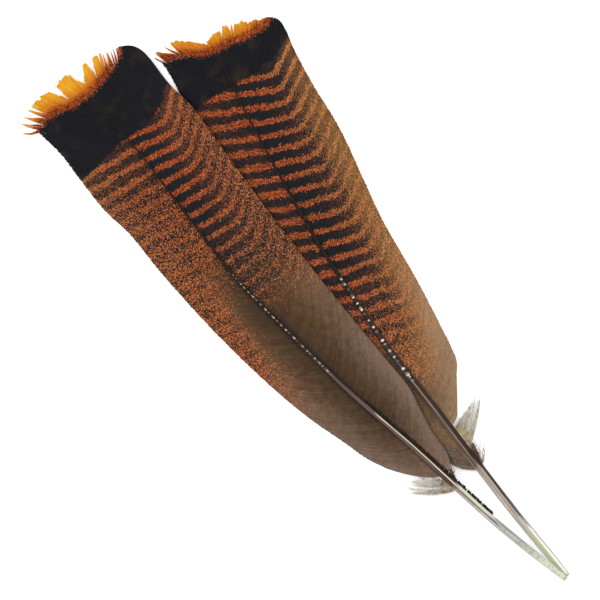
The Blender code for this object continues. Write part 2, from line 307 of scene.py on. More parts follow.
def cubic(x, xs, ys, slopes):
    """Values at x of the piecewise cubic through the points (xs, ys) with these slopes."""
    x = np.clip(np.asarray(x, float), xs[0], xs[-1])
    i = np.clip(np.searchsorted(xs, x) - 1, 0, len(xs) - 2)
    step = xs[i + 1] - xs[i]
    t = (x - xs[i]) / step
    if ys.ndim > 1:
        t, step = t[..., None], step[..., None]
    rise = t * t * (3 - 2 * t)
    bend = t * (1 - t) * step * ((1 - t) * slopes[i] - t * slopes[i + 1])
    return (1 - rise) * ys[i] + rise * ys[i + 1] + bend


def along(points, v):
    """A quantity listed as (v, value), at v, on a curve that never overshoots the listed values."""
    xs, ys = np.array(points, float).T
    slope = np.diff(ys) / np.diff(xs)
    before, after = np.append(slope[0], slope), np.append(slope, slope[-1])
    slopes = np.zeros(len(xs))
    np.divide(2 * before * after, before + after, out=slopes, where=before * after > 0)
    return cubic(v, xs, ys, slopes)


def outline(points, count):
    """This many points along the rounded curve through the listed ones."""
    ys = np.array(points, float)
    xs = np.arange(len(ys))
    return cubic(np.linspace(0, xs[-1], count), xs, ys, np.gradient(ys, axis=0))


def smoothstep(x, low, high):
    t = np.clip((np.asarray(x, float) - low) / (high - low), 0, 1)
    return t * t * (3 - 2 * t)


def side_sign(side):
    return -1 if side == "left" else 1


# ---- Barbs -----------------------------------------------------------


def barb_ends(edge, start, end, spacing):
    """(u, v, root) of each barb rooted from start to end, evenly spread over the shaft and the edge."""
    dense = outline(edge, OUTLINE_POINTS)
    travel = np.append(0, np.cumsum(np.linalg.norm(np.diff(dense, axis=0), axis=1)))
    first, last = np.interp([start, end], dense[:, 2], travel)
    count = max(2, round((last - first) / (math.sqrt(2) * spacing)) + 1)
    steps = np.linspace(first, last, count)
    return np.column_stack([np.interp(steps, travel, dense[:, k]) for k in range(3)])


def barb_paths(feather, side, ends, t):
    """Points along each barb, from the shaft to its end: an array (barb, step, 3)."""
    u, v, root = (column[:, None] for column in ends.T)
    root_u = along(feather.shaft_line, root) + side_sign(side) * 0.8 * along(feather.shaft_width, root)
    root_z = along(feather.shaft_height, root) + ATTACH * along(feather.shaft_depth, root)
    edge_z = along(feather.edge_heights[side], v)
    sag = BARB_BOW * np.hypot(u - root_u, v - root) * 4 * t * (1 - t)
    height = root_z + (edge_z - root_z) * t**CAMBER
    return np.stack([root_u + (u - root_u) * t, root + (v - root) * t - sag, height], axis=-1)


def locks(feather, ends, spiky, rng):
    """Groups neighbouring barbs: (the group of each barb, its place across the group from -1 to 1)."""
    size = LOCK_BARBS + (SPIKE_BARBS - LOCK_BARBS) * spiky
    lock = np.floor(np.cumsum(rng.exponential(1.0, len(ends)) / size))
    gap = (ends[:, :1] > [u for u, *_ in feather.notches]).sum(axis=1)
    group = np.cumsum((np.diff(lock, prepend=lock[0]) != 0) | (np.diff(gap, prepend=gap[0]) != 0))
    first = np.searchsorted(group, group)
    return group, 2 * (np.arange(len(ends)) - first + 0.5) / np.bincount(group)[group] - 1


def fray(feather, side, paths, ends, rng):
    """Lets the barbs be uneven: ragged ends all round, and notched lobes and spikes in the fringe.

    It returns what share of their width the barbs keep, at each of their points.
    """
    count, steps = paths.shape[:2]
    u, v, root = ends.T
    in_fringe = smoothstep(v - along(feather.band_high, u), 1.5, 6)
    spiky_from, spiky_to, flare = feather.spiky[side]
    spiky = smoothstep(u, spiky_from - 4, spiky_from) * smoothstep(u, spiky_to + 4, spiky_to)
    whole = 1 - smoothstep(u, *WHOLE_CORNER)
    group, place = locks(feather, ends, spiky, rng)
    per_lock, per_barb = rng.normal(0, 1, count)[group], rng.normal(0, 1, count)
    per_tooth = np.repeat(rng.normal(0, 1, count), 3)[:count]
    reach = whole * 0.2 * per_barb
    reach += in_fringe * whole * (
        (0.3 + 1.1 * spiky) * per_lock + 0.4 * per_tooth - (0.3 + 0.9 * spiky) * place**2)
    lean = in_fringe * (flare * spiky * (1 + 0.5 * per_lock) + 0.2 * per_lock)
    for notch, half_width, depth in feather.notches:
        off = u - notch
        reach -= in_fringe * depth * np.clip(1 - np.abs(off) / half_width, 0, 1)
        lean += in_fringe * side_sign(side) * np.sign(off) * np.exp(-np.abs(off) / 3)
    step = paths[:, -1, :2] - paths[:, -3, :2]
    step /= np.linalg.norm(step, axis=1, keepdims=True)
    outward = np.column_stack([-step[:, 1], step[:, 0]]) * -side_sign(side)
    middle = np.stack([np.bincount(group, paths[:, -1, k]) / np.bincount(group) for k in (0, 1)], axis=-1)
    pull = in_fringe * whole * (rng.uniform(0, 0.06, count)[group] + 0.72 * spiky)
    t = np.linspace(0, 1, steps)
    tip = feather.shaft_line[-1][0]
    closing = TIP_OVERLAP * smoothstep(root, tip - 6, tip)
    paths[:, :, 0] -= side_sign(side) * closing[:, None] * smoothstep(t, 0.1, 0.5)
    late, last = (smoothstep(t, start, 1)[None, :, None] for start in (0.55, 0.82))
    paths[:, :, :2] += late * (step * reach[:, None])[:, None]
    gather = (middle[group] - paths[:, -1, :2]) * pull[:, None]
    paths[:, :, :2] += last * (outward * lean[:, None] + gather)[:, None]
    paths[:, :, 2] += rng.normal(0, 0.03, count)[:, None] * np.sin(math.pi * t)
    paths[:, :, 2] += (in_fringe * np.abs(rng.normal(0, 0.4, count)))[:, None] * smoothstep(t, 0.8, 1)
    return 1 - 0.8 * (in_fringe * spiky)[:, None] * smoothstep(t, 0.85, 1)


def directions(paths):
    """(along, across) unit vectors in plan at every point of the paths."""
    ahead = np.gradient(paths, axis=1)
    ahead[..., 2] = 0
    ahead /= np.linalg.norm(ahead, axis=-1, keepdims=True)
    across = np.stack([-ahead[..., 1], ahead[..., 0], np.zeros_like(ahead[..., 0])], axis=-1)
    return ahead, across


def barb_widths(paths, across):
    """Half the distance from each barb to its neighbours, measured square to it."""
    apart = np.abs((np.diff(paths, axis=0) * across[:-1]).sum(-1))
    apart = np.concatenate([apart[:1], (apart[1:] + apart[:-1]) / 2, apart[-1:]])
    return apart / 2


def ribbons(paths, across, half_widths, section=BARB_SECTION, thin=1.0):
    """(vertices, faces) of a closed thin solid along each path. The section's heights scale with thin."""
    count, steps = paths.shape[:2]
    sides = len(section)
    thin = np.broadcast_to(thin, (count, steps))
    rings = np.stack([
        paths + across * (half_widths * share)[..., None] + np.array([0, 0, 1]) * (thin * height)[..., None]
        for share, height in section
    ], axis=2)
    index = np.arange(count * steps * sides).reshape(count, steps, sides)
    a, b = index[:, :-1], index[:, 1:]
    skin = np.stack([a, np.roll(a, -1, 2), np.roll(b, -1, 2), b], axis=-1).reshape(-1, 4)
    caps = np.concatenate([index[:, 0, ::-1], index[:, -1]])
    return rings.reshape(-1, 3), skin.tolist() + caps.tolist()


def spread(values, sides=len(BARB_SECTION)):
    """A value per path point, repeated for the points of its section."""
    return np.repeat(np.asarray(values, float)[..., None], sides, axis=-1).reshape(-1)


def plumage(feather, side, paths, t, root, rng):
    """What the vane's colours depend on, at each point of the barbs, as vectors for the shader."""
    u, v = paths[..., 0], paths[..., 1]
    distance = np.abs(u - along(feather.shaft_line, v))
    falls, bend, rise = feather.bar_lines[side]
    fall = along(falls, v)
    beyond = np.logaddexp(0, (distance - bend) / 1.5) * 1.5
    phase = (v + fall * distance - (fall + rise) * beyond) / feather.bar_period
    phase += rng.normal(0, 0.045, len(paths))[:, None]

    def between(pair):
        inner, outer = (along(points, v) for points in pair)
        return inner + (outer - inner) * smoothstep(t, 0.15, 1)

    barb = np.broadcast_to(rng.random(len(paths))[:, None], u.shape)
    low, high = (along(edge, u) for edge in (feather.band_low, feather.band_high))
    # Painted shadow of the shaft on the vane: darkest beside it, fading over about 9 mm, from v 80 on
    shaft_shadow = np.exp(-distance / 9) * smoothstep(v, 80, 120)
    lengths = np.linalg.norm(np.diff(paths, axis=1), axis=2)
    run = np.append(np.zeros((len(paths), 1)), lengths.cumsum(axis=1), axis=1)
    return {
        "strand": (run, barb * 50, along(feather.black_share[side], v)),
        "place": (u, v, barb),
        "bars": (phase, between(feather.clarity[side]), between(feather.tan[side])),
        "tone": (between(feather.rufous[side]), between(feather.pale[side]), shaft_shadow),
        "tip": (v - low, v - high, np.broadcast_to(root[:, None], u.shape)),
    }


def add_vane(feather, side, number, start, end, matrix, material):
    rng = np.random.default_rng(feather.seed * 100 + number + (50 if side == "right" else 0))
    t = np.linspace(0, 1, BARB_STEPS) ** 0.9
    ends = barb_ends(feather.edges[side], start, end, BARB_SPACING)
    paths = barb_paths(feather, side, ends, t)
    narrowing = fray(feather, side, paths, ends, rng)
    across = directions(paths)[1] * side_sign(side)
    widths = np.maximum(barb_widths(paths, across) * BARB_OVERLAP, THINNEST_BARB)
    points, faces = ribbons(paths, across, widths * narrowing, thin=1 - 0.65 * t)
    fields = plumage(feather, side, paths, t, ends[:, 2], rng)
    piece = add_piece(f"{feather.name}_vane_{side}_{number}_barbs", points, faces, matrix, material)
    for name, values in fields.items():
        set_vectors(piece, name, [spread(value) for value in values])
    stand_for(piece, feather, f"vane_{side}_{number}")


# ---- Down ------------------------------------------------------------


def wander(rng, count, steps, size, turns):
    """Smooth random sideways drift along each of the paths, growing towards the ends."""
    t = np.linspace(0, 1, steps)
    waves = sum(
        rng.normal(0, 1 / k, (count, 1)) * np.sin(math.pi * k * turns * t + rng.uniform(0, 6.3, (count, 1)))
        for k in (1, 2, 3)
    )
    return size * t * waves


PLUME_SECTION = ((-1, 0), (0, 0.6), (1, 0), (0, -0.6))
PLUME_STEPS = 26
HAIR = np.linspace(0, 1, 4)


def barbules(paths, length, rng):
    """Short hairs that leave every plume to left and right: (paths, the share along the plume of each)."""
    count, steps = paths.shape[:2]
    ahead, across = directions(paths)
    rows, columns = np.meshgrid(np.arange(count), np.repeat(np.arange(2, steps), 4), indexing="ij")
    rows, columns = rows.ravel(), columns.ravel()
    blend = rng.random(len(rows))[:, None]
    base = paths[rows, columns] * blend + paths[rows, columns - 1] * (1 - blend)
    hand = rng.choice([-1, 1], len(rows))[:, None]
    lean = rng.normal(0.7, 0.25, len(rows))[:, None]
    way = ahead[rows, columns] * np.cos(lean) + across[rows, columns] * np.sin(lean) * hand
    way[:, 2] = rng.normal(0, 0.25, len(rows))
    sideways = np.column_stack([-way[:, 1], way[:, 0], np.zeros(len(way))])
    reach = length * rng.uniform(0.5, 1.3, len(rows))[:, None, None]
    curl = rng.normal(0, 0.35, len(rows))[:, None, None] * HAIR[:, None] ** 2
    hairs = base[:, None] + (way[:, None] * HAIR[:, None] + sideways[:, None] * curl) * reach
    hairs[..., 2] = np.maximum(hairs[..., 2], 0.1)
    return hairs, np.broadcast_to((columns / steps)[:, None], hairs.shape[:2])


def add_down(feather, side, matrix, material):
    """Lobes of loose plumes: each a soft curling barb with fine barbules down both sides."""
    rng = np.random.default_rng(feather.seed * 100 + 90 + (5 if side == "right" else 0))
    t = np.linspace(0, 1, PLUME_STEPS)
    parts = []
    for lobe in feather.plumes[side]:
        ends = barb_ends(lobe.edge, lobe.edge[0][2], lobe.edge[-1][2], lobe.spacing)
        ends[:, :2] += rng.normal(0, 0.25, (len(ends), 2))
        paths = barb_paths(feather, side, ends, t)
        paths = paths[:, :1] + (paths - paths[:, :1]) * rng.uniform(0.78, 1.03, len(ends))[:, None, None]
        paths += directions(paths)[1] * wander(rng, len(ends), PLUME_STEPS, lobe.curl, 1.6)[..., None]
        paths[..., 2] += np.clip(wander(rng, len(ends), PLUME_STEPS, lobe.curl, 1.2), -1.0, 1.6)
        paths[..., 2] = np.maximum(paths[..., 2], 0.35)
        hairs, share = barbules(paths, lobe.barbule, rng)
        for lines, width, way in ((paths, 0.11 * (1 - 0.6 * t), t), (hairs, 0.04 * (1 - 0.8 * HAIR), share)):
            half = np.broadcast_to(width, lines.shape[:2])
            skin = ribbons(lines, directions(lines)[1], half, PLUME_SECTION, 0.08)
            along_plume = spread(np.broadcast_to(way, half.shape))
            parts.append((*skin, along_plume, np.full(len(along_plume), lobe.brown)))
    starts = np.cumsum([0] + [len(part[0]) for part in parts])
    faces = [[k + start for k in face] for start, part in zip(starts, parts) for face in part[1]]
    points, share, brown = (np.concatenate([part[k] for part in parts]) for k in (0, 2, 3))
    piece = add_piece(f"{feather.name}_down_{side}_plumes", points, faces, matrix, material)
    set_vectors(piece, "place", [points[:, 0], points[:, 1], share])
    set_vectors(piece, "tone", [brown, brown, brown])
    stand_for(piece, feather, f"down_{side}")


# ---- Shaft -----------------------------------------------------------


def shaft_ring(feather, v, width, depth, sides, groove=0.0):
    """The shaft's section at v: points round an oval of these half sizes, with a groove underneath."""
    slope = (along(feather.shaft_line, v + 1) - along(feather.shaft_line, v - 1)) / 2
    across = np.array([1, -slope]) / math.hypot(1, slope)
    angles = (np.arange(sides) + 0.5) * 2 * math.pi / sides
    under = np.clip(-np.sin(angles), 0, 1) ** 8
    sideways, up = width * np.cos(angles), np.maximum(depth * np.sin(angles), -depth * feather.flat)
    up = up + depth * groove * under
    centre = float(along(feather.shaft_line, v))
    return np.column_stack([
        centre + sideways * across[0], v + sideways * across[1], along(feather.shaft_height, v) + up])


def shaft_rings(feather, first, last, inset, groove=0.0, step=SHAFT_STEP, sides=SHAFT_SIDES):
    """Sections from first to last, drawn in from the shaft's surface by inset."""
    places = np.linspace(first, last, max(2, round((last - first) / step) + 1))
    return [
        shaft_ring(feather, v, along(feather.shaft_width, v) - inset, along(feather.shaft_depth, v) - inset,
                   sides, groove * float(smoothstep(v, feather.umbilicus, feather.umbilicus + 25)))
        for v in places
    ]


def loft(rings, ring_closed=False):
    """(vertices, faces) of the skin over the rings. Its ends are capped, or joined if ring_closed."""
    count, sides = len(rings), len(rings[0])
    faces = []
    for i in range(count if ring_closed else count - 1):
        a, b = i * sides, (i + 1) % count * sides
        faces += [(a + j, a + (j + 1) % sides, b + (j + 1) % sides, b + j) for j in range(sides)]
    if not ring_closed:
        faces += [tuple(range(sides))[::-1], tuple(range((count - 1) * sides, count * sides))]
    return np.concatenate(rings), faces


def shaft_fields(feather, points):
    """Where each point is on the shaft: how far to the right, how far up, and how far along."""
    v = points[:, 1]
    side = (points[:, 0] - along(feather.shaft_line, v)) / along(feather.shaft_width, v)
    up = (points[:, 2] - along(feather.shaft_height, v)) / along(feather.shaft_depth, v)
    return side, up, v


def add_shaft(feather, matrix):
    """The hollow horn quill with its pulp caps, and the grooved rachis over its pith core."""
    outer = shaft_rings(feather, 0, feather.umbilicus, 0)
    bore = shaft_rings(feather, 0, feather.umbilicus, CALAMUS_WALL)
    start, end = feather.umbilicus, feather.shaft_line[-1][0]
    samples = np.linspace(start, end, 200)
    core_end = samples[along(feather.shaft_width, samples) > CORTEX_WALL + GAP + PITH_END_WIDTH][-1]
    shell = shaft_rings(feather, start, core_end, CORTEX_WALL)[::-1]
    shell += shaft_rings(feather, start, end, 0, groove=0.3)
    for part, slot, skin, material in (
        ("calamus", "horn", loft(bore[::-1] + outer, ring_closed=True), calamus_material(feather)),
        ("rachis_cortex", "shaft", loft(shell), rachis_material(feather)),
    ):
        points, faces = skin
        piece = add_piece(f"{feather.name}_{part}_horn", points, faces, matrix, material)
        set_vectors(piece, "round", shaft_fields(feather, points))
        stand_for(piece, feather, part)

    caps = []
    shape = (0.3, 0.75, 1, 0.95)  # of one cap, as shares of the bore
    for k, v in enumerate(np.linspace(5, feather.umbilicus - 1.5, CAPS * len(shape) + 1)):
        size = (along(feather.shaft_width, v) - CALAMUS_WALL - 0.15) * shape[k % len(shape)]
        caps.append(shaft_ring(feather, v, size, size, 20))
    points, faces = loft(caps)
    piece = add_piece(f"{feather.name}_pulp_caps", points, faces, matrix, MEMBRANE)
    stand_for(piece, feather, "calamus_membrane")


def add_shadow_spurs(feather, matrix):
    """A ragged row of short dark spurs along the shaft's right flank, put there as the shaft's painted
    shadow.
    """
    rng = np.random.default_rng(feather.seed * 100 + 70)
    roots = np.arange(*feather.shadow_spurs, 0.5)
    roots = roots[rng.random(len(roots)) > 0.06]
    roots += rng.normal(0, 0.1, len(roots))
    t = np.linspace(0, 1, 5)
    out, forward = rng.uniform(1.0, 1.5, len(roots)), rng.uniform(0.35, 0.75, len(roots))
    flank = along(feather.shaft_line, roots) + 0.93 * along(feather.shaft_width, roots)
    height = along(feather.shaft_height, roots) + 0.55 * along(feather.shaft_depth, roots)
    paths = np.stack([
        flank[:, None] + out[:, None] * t, roots[:, None] + forward[:, None] * t,
        height[:, None] - 0.4 * t * t * out[:, None]], axis=-1)
    half = rng.uniform(0.27, 0.38, len(roots))[:, None] * (1 - 0.25 * t * t)
    points, faces = ribbons(paths, directions(paths)[1], half, PLUME_SECTION, 0.5)
    piece = add_piece(f"{feather.name}_barb_stubs", points, faces, matrix, SHADOW_SPUR)
    set_vectors(piece, "place", points.T)
    stand_for(piece, feather, "rachis_cortex")


# ---- Building --------------------------------------------------------


def volume(points, faces):
    """The signed volume inside closed faces, negative where they face inwards."""
    corners = np.array([(face[0], face[k], face[k + 1]) for face in faces for k in range(1, len(face) - 1)])
    return np.linalg.det(points[corners] - points.mean(axis=0)).sum() / 6


def add_piece(name, points, faces, matrix, material):
    """A smooth-shaded mesh of points in millimetres, put in place by the matrix."""
    if volume(points, faces) < 0:
        faces = [face[::-1] for face in faces]
    mesh = bpy.data.meshes.new(name)
    mesh.from_pydata((points * MM).tolist(), [], [tuple(face) for face in faces])
    mesh.shade_smooth()
    mesh.materials.append(material)
    piece = bpy.data.objects.new(name, mesh)
    bpy.context.collection.objects.link(piece)
    piece.matrix_world = matrix
    return piece


def set_vectors(piece, name, columns):
    """Stores three numbers a vertex under the name that the shader reads."""
    data = piece.data.attributes.new(name, "FLOAT_VECTOR", "POINT")
    data.data.foreach_set("vector", np.column_stack(columns).astype(np.float32).ravel())


def stand_for(piece, feather, node):
    """Ties the piece to its feather's body and hides the CAD node that it stands for."""
    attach(piece, f"{feather.name}_feather")
    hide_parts(f"{feather.name}_{node}")


def placement(feather):
    """The matrix from the feather's frame to the row's, set by the lowest corner of its CAD quill."""
    turn = Matrix.Rotation(math.radians(feather.turn), 4, "Z")
    rings = [
        shaft_ring(feather, v, along(feather.shaft_width, v), along(feather.shaft_depth, v), CAD_SIDES)
        for v in np.linspace(0, feather.umbilicus, 1 + round(feather.umbilicus / CAD_STEP))
    ]
    points = np.concatenate(rings) * MM @ np.array(turn)[:3, :3].T
    low = np.array(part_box(f"{feather.name}_calamus")[0])
    return Matrix.Translation(low - points.min(axis=0)) @ turn


def build_feather(feather):
    matrix = placement(feather)
    material = vane_material(feather)
    for side, edge in feather.edges.items():
        bounds = [edge[0][2], *feather.splits, edge[-1][2]]
        for number, (start, end) in enumerate(zip(bounds, bounds[1:]), start=1):
            add_vane(feather, side, number, start, end, matrix, material)
        add_down(feather, side, matrix, DOWN)
    add_shaft(feather, matrix)
    if feather.shadow_spurs:
        add_shadow_spurs(feather, matrix)
    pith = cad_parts[f"{feather.name}_rachis_pith"]
    pith.data.materials.clear()
    pith.data.materials.append(PITH)
    return matrix


# ---- Materials -------------------------------------------------------


def linear(*srgb):
    """A colour in 0..255 sRGB as the linear RGBA that sockets take."""
    share = [value / 255 for value in srgb]
    return (*(s / 12.92 if s < 0.04045 else ((s + 0.055) / 1.055) ** 2.4 for s in share), 1)


class Graph:
    """Short names for the materials' node types. A socket may be given a number, a colour or an output."""

    def __init__(self, name, **settings):
        self.material = bpy.data.materials.new(name)
        self.material.use_nodes = True
        self.tree = self.material.node_tree
        self.shader = self.tree.nodes["Principled BSDF"]
        self.surface(**settings)

    def surface(self, **settings):
        """Sets the shader's own sockets, such as Base_Color for "Base Color"."""
        for name, value in settings.items():
            self.put(self.shader.inputs[name.replace("_", " ")], value)

    def put(self, socket, value):
        if isinstance(value, bpy.types.NodeSocket):
            self.tree.links.new(value, socket)
        else:
            socket.default_value = value

    def node(self, kind, inputs=(), **settings):
        node = self.tree.nodes.new(kind)
        for name, value in settings.items():
            setattr(node, name, value)
        for name, value in dict(inputs).items():
            self.put(node.inputs[name], value)
        return node

    def fields(self, name):
        """The three numbers stored under this name, and the vector itself."""
        vector = self.node("ShaderNodeAttribute", attribute_name=name).outputs["Vector"]
        parts = self.node("ShaderNodeSeparateXYZ", {0: vector}).outputs
        return (*parts, vector)

    def coordinates(self):
        return self.node("ShaderNodeTexCoord").outputs["Object"]

    def math(self, operation, a, b=0.0, clamp=False):
        return self.node("ShaderNodeMath", {0: a, 1: b}, operation=operation, use_clamp=clamp).outputs[0]

    def add(self, a, b):
        return self.math("ADD", a, b)

    def times(self, a, b):
        return self.math("MULTIPLY", a, b)

    def centred(self, noise):
        """Noise about 0 instead of 0.5."""
        return self.add(noise, -0.5)

    def step(self, value, low, high, bottom=0.0, top=1.0):
        """bottom below low and top above high, with a smooth change between."""
        inputs = {"Value": value, "From Min": low, "From Max": high, "To Min": bottom, "To Max": top}
        return self.node("ShaderNodeMapRange", inputs, interpolation_type="SMOOTHSTEP").outputs[0]

    def band(self, value, low, high, soft):
        """1 between low and high, with a soft edge outside."""
        return self.times(self.step(value, low - soft, low), self.step(value, high + soft, high))

    def mix(self, factor, a, b, blend="MIX"):
        inputs = {0: factor, 6: a, 7: b}
        return self.node("ShaderNodeMix", inputs, data_type="RGBA", blend_type=blend).outputs[2]

    def noise(self, vector, scale, detail=2.0, roughness=0.5, distortion=0.0):
        inputs = {"Vector": vector, "Scale": scale, "Detail": detail, "Roughness": roughness,
                  "Distortion": distortion}
        return self.node("ShaderNodeTexNoise", inputs).outputs["Fac"]

    def stretch(self, vector, scale, turn=0.0):
        """The vector turned about Z, in degrees, and then scaled."""
        turned = self.node("ShaderNodeVectorRotate", {"Vector": vector, "Angle": math.radians(turn)},
                           rotation_type="Z_AXIS").outputs[0]
        return self.node("ShaderNodeVectorMath", {0: turned, 1: scale}, operation="MULTIPLY").outputs[0]

    def bump(self, height, strength=0.3, distance=0.2 * MM):
        inputs = {"Height": height, "Strength": strength, "Distance": distance}
        self.surface(Normal=self.node("ShaderNodeBump", inputs).outputs[0])


BLACK = linear(27, 26, 31)
BAND_BROWN = linear(48, 40, 32)
GAP_BLACK = linear(33, 34, 36)
GAP_BROWN = linear(122, 86, 50)
DEEP_RUST = linear(104, 38, 22)
RUST = linear(208, 96, 42)
TAN = linear(198, 138, 80)
PALE_FLECK = linear(214, 160, 124)
DARK_BROWN = linear(54, 44, 38)
MAROON_BROWN = linear(106, 64, 50)
OLIVE_BROWN = linear(118, 90, 46)
FRINGE_RUST = linear(180, 74, 26)
FRINGE_DARK = linear(70, 26, 18)
GOLD = linear(214, 128, 32)
PALE_GOLD = linear(238, 182, 44)


def vane_material(feather):
    """Rust bars on black that break up into mottling and then plain brown, a black band and a gold fringe."""
    g = Graph(f"{feather.name}_vane", Roughness=0.7, Specular_IOR_Level=0.1)
    _, _, barb, place = g.fields("place")
    phase, clarity, tan, _ = g.fields("bars")
    rufous, pale, shaft_shadow, _ = g.fields("tone")
    below, above, root, _ = g.fields("tip")
    run, _, black_share, strand = g.fields("strand")

    broad = g.noise(place, 0.11, 2)
    patch = g.noise(place, 0.3, 3, 0.6)
    grain = g.centred(g.noise(g.stretch(place, (0.75, 1.25, 0.4)), 1.3, 2, 0.6))
    dots = g.centred(g.noise(g.stretch(place, (1.0, 1.0, 3.0)), 1.7, 1, 0.5))
    fleck = g.centred(g.noise(g.stretch(strand, (1.0, 1.0, 0.0)), 1.1, 2, 0.6))
    lane = g.node("ShaderNodeCombineXYZ", {0: g.times(root, 0.8), 1: g.times(run, 0.07)}).outputs[0]
    streak = g.noise(lane, 1.0, 3, 0.6)
    blotch = g.noise(g.stretch(lane, (0.35, 0.8, 1.0)), 1.0, 2)

    # Bars: a wave in the phase, bent by noise, with edges broken by grain
    bent = g.add(phase, g.times(g.centred(broad), 0.4))
    wave = g.math("SINE", g.times(bent, 2 * math.pi))
    ragged = g.add(g.add(wave, g.times(grain, 2.4)), g.add(g.times(fleck, 1.6), g.times(dots, 1.6)))
    bars = g.step(g.math("SUBTRACT", ragged, black_share), -0.15, 0.35)

    # Mottling: fine broken dots across the vane, where the bars are no longer clear
    lines = g.math("SINE", g.times(g.add(g.times(bent, 3.1), g.times(broad, 2.2)), 2 * math.pi))
    broken = g.add(g.add(g.times(lines, 0.12), g.times(dots, 5.0)), g.times(grain, 1.6))
    broken = g.add(broken, g.times(fleck, 2.2))
    broken = g.add(broken, g.add(g.times(wave, 0.15), g.times(black_share, -0.4)))
    mottle = g.step(broken, -0.2, 0.25)
    pattern = g.mix(clarity, mottle, bars)

    # Rust, dark in the thread along the middle of each bar, and paler or tan towards the edge
    thread = g.step(g.add(wave, g.times(fleck, 1.5)), 0.75, 1.2, 0, 0.7)
    depth = g.step(g.math("SUBTRACT", g.add(fleck, dots), g.times(thread, 0.3)), -0.2, 0.12)
    rust = g.mix(depth, DEEP_RUST, RUST)
    rust = g.mix(g.math("ADD", g.times(tan, 0.85), g.times(grain, 0.9), clamp=True), rust, TAN)
    spark = g.step(g.add(fleck, g.times(dots, 0.8)), 0.18, 0.28, 0, 0.7)
    gap = g.mix(g.step(g.add(tan, dots), 0.45, 1.0), GAP_BLACK, GAP_BROWN)
    barred = g.mix(pattern, gap, g.mix(spark, rust, PALE_FLECK))

    # Plain brown: maroon and olive blotches, streaked along the barbs, paler at the edge, and darkened beside
    # the shaft by painted shadow
    patches = g.step(g.add(g.times(blotch, 0.7), g.times(patch, 0.3)), 0.4, 0.6)
    plain = g.mix(patches, MAROON_BROWN, OLIVE_BROWN)
    plain = g.mix(g.step(streak, 0.35, 0.65), plain, g.mix(0.6, DARK_BROWN, OLIVE_BROWN))
    paler = g.math("ADD", pale, g.times(g.add(g.centred(streak), g.centred(patch)), 1.1), clamp=True)
    plain = g.mix(paler, plain, linear(*feather.pale_brown))
    # Painted shadow: the plain brown darkens beside the shaft
    plain = g.mix(g.times(shaft_shadow, 0.9), plain, DARK_BROWN)
    plain = g.mix(g.step(fleck, -0.2, 0.2, 0.3, 0), plain, DARK_BROWN)
    fading = g.step(g.add(rufous, g.times(g.add(grain, dots), 1.0)), 0.25, 0.75)
    body = g.mix(fading, plain, barred)

    # The black band, with a ragged lower edge, and the fringe above it, dark mottled at its root
    in_band = g.step(g.add(below, g.times(g.add(grain, dots), 4.0)), -0.3, 0.5)
    body = g.mix(in_band, body, g.mix(g.step(broad, 0.52, 0.75), BLACK, BAND_BROWN))
    height = g.add(g.add(above, g.times(fleck, 6)), barb)
    gold = g.mix(g.step(height, 2, 6.5), FRINGE_RUST, GOLD)
    gold = g.mix(g.step(height, 5, 12), gold, PALE_GOLD)
    specks = g.times(g.step(g.add(dots, grain), -0.06, 0.05), g.step(above, 6, 2.5))
    gold = g.mix(g.times(specks, 0.9), gold, FRINGE_DARK)
    sparks = g.times(g.step(g.add(dots, fleck), 0.16, 0.24), g.band(above, -0.4, 1.5, 1.0))
    in_fringe = g.step(g.add(above, g.times(g.add(grain, dots), 4.0)), -0.2, 0.6)
    colour = g.mix(g.times(sparks, 0.6), g.mix(in_fringe, body, gold), PALE_FLECK)
    colour = g.mix(0.25, colour, g.mix(barb, linear(70, 70, 70), linear(190, 190, 190)), "OVERLAY")
    g.surface(Base_Color=colour, Roughness=g.step(grain, -0.2, 0.2, 0.62, 0.8))
    g.bump(g.add(grain, fleck))
    return g.material


def shaft_streaks(g, place):
    """(long streaks, short flecks) that run along the shaft."""
    streaks = g.noise(g.stretch(place, (2.5, 2.5, 0.05)), 1.0, 3)
    return streaks, g.noise(g.stretch(place, (1.0, 1.0, 0.55)), 1.0, 2)


def add_strips(g, feather, colour, side, up, v, streaks):
    """The colour with the feather's lines along the upper side of the shaft painted over it, painted light
    and painted shade among them.
    """
    for (left, right), (first, last), line in feather.strips:
        here = g.times(g.band(side, left, right, 0.09), g.band(v, first, last, 4.5))
        here = g.times(here, g.times(g.step(up, -0.3, 0.0), g.step(streaks, 0.3, 0.5, 0.55, 1)))
        colour = g.mix(here, colour, linear(*line))
    return colour


def calamus_material(feather):
    """Pale, slightly see-through horn, greenish at its open end, with painted shade greying its flanks."""
    g = Graph(f"{feather.name}_quill_horn", Roughness=0.35, Specular_IOR_Level=0.25, Coat_Weight=0.05)
    side, up, v, place = g.fields("round")
    streaks, flecks = shaft_streaks(g, place)
    horn = g.mix(g.step(streaks, 0.35, 0.7), linear(150, 146, 143), linear(206, 202, 196))
    horn = g.mix(g.step(v, 38, 6, 0, 0.8), horn, linear(222, 230, 204))
    horn = g.mix(g.step(flecks, 0.5, 0.65, 0, 0.55), horn, linear(136, 131, 122))
    # Painted shade: the horn greys towards its flanks
    horn = g.mix(g.step(g.math("ABSOLUTE", side), 0.72, 0.95, 0, 0.6), horn, linear(150, 145, 140))
    colour = add_strips(g, feather, horn, side, up, v, streaks)
    g.surface(Base_Color=colour, Roughness=g.step(streaks, 0.3, 0.7, 0.28, 0.45))
    g.surface(Transmission_Weight=g.step(flecks, 0.3, 0.7, 0.15, 0.05))
    g.bump(g.add(streaks, g.times(flecks, 0.5)))
    return g.material


